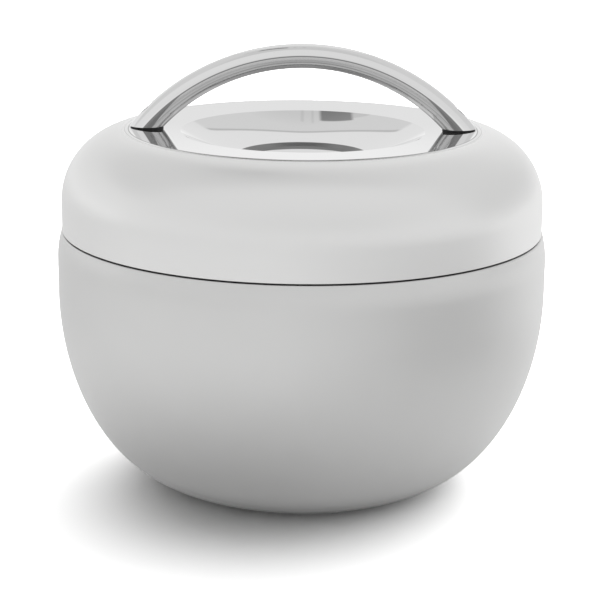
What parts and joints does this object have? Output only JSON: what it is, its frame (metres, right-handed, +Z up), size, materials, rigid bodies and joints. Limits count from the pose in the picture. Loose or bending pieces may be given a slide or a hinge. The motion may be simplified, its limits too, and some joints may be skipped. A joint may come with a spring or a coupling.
{
  "type": "insulated bowl with lid",
  "caption": "Round double-walled steel bowl with a screw-on lid, dished on top and carried by a fixed arched bar handle.",
  "frame": {"origin": "centre of the resting plane, on the bowl's axis of revolution", "axes": "+Z up along the bowl's axis; the handle's arch runs along X; the picture looks along +Y"},
  "size_m": [0.165, 0.165, 0.1488],
  "materials": {
    "satin_steel": "satin-polished stainless steel",
    "polished_steel": "polished stainless steel",
    "mirror_steel": "mirror-polished stainless steel",
    "inner_steel": "fine-brushed stainless steel",
    "fastener_steel": "plain stainless steel",
    "sealing_metal": "dull solder bead",
    "getter_metal": "sintered metal tablet",
    "foil": "bright metal foil",
    "grey_plastic": "fine-textured moulded plastic",
    "silicone": "translucent white silicone",
    "black_rubber": "matt black rubber",
    "foam": "rigid insulation"
  },
  "bodies": {
    "bowl": {"outer_shell": "satin_steel", "outer_bottom": "inner_steel", "base_cover": "satin_steel", "vacuum_plug": "sealing_metal", "getter": "getter_metal", "reflective_foil": "foil", "inner_liner": "inner_steel", "neck_collar": "grey_plastic"},
    "seal": {"lid_gasket": "silicone"},
    "lid": {"lid_shell": "polished_steel", "lid_foam": "foam", "lid_ring": "grey_plastic", "lid_plate": "inner_steel", "handle": "mirror_steel", "handle_gasket_left": "black_rubber", "handle_gasket_right": "black_rubber", "backing_plate_left": "inner_steel", "backing_plate_right": "inner_steel", "lock_washer_left": "fastener_steel", "lock_washer_right": "fastener_steel", "handle_screw_left": "fastener_steel", "handle_screw_right": "fastener_steel"}
  },
  "joints": [
    {"name": "lid_rise", "type": "slide", "parent": "bowl", "child": "seal", "axis": [0, 0, 1], "range_m": [0, 0.0481]},
    {"name": "lid_turn", "type": "hinge", "parent": "seal", "child": "lid", "pos_m": [0, 0, 0.1], "axis": [0, 0, 1], "range_deg": [0, 720]}
  ],
  "couplings": [
    {"joint": "lid_rise", "follows": "lid_turn", "m_per_rad": 0.0038197}
  ]
}
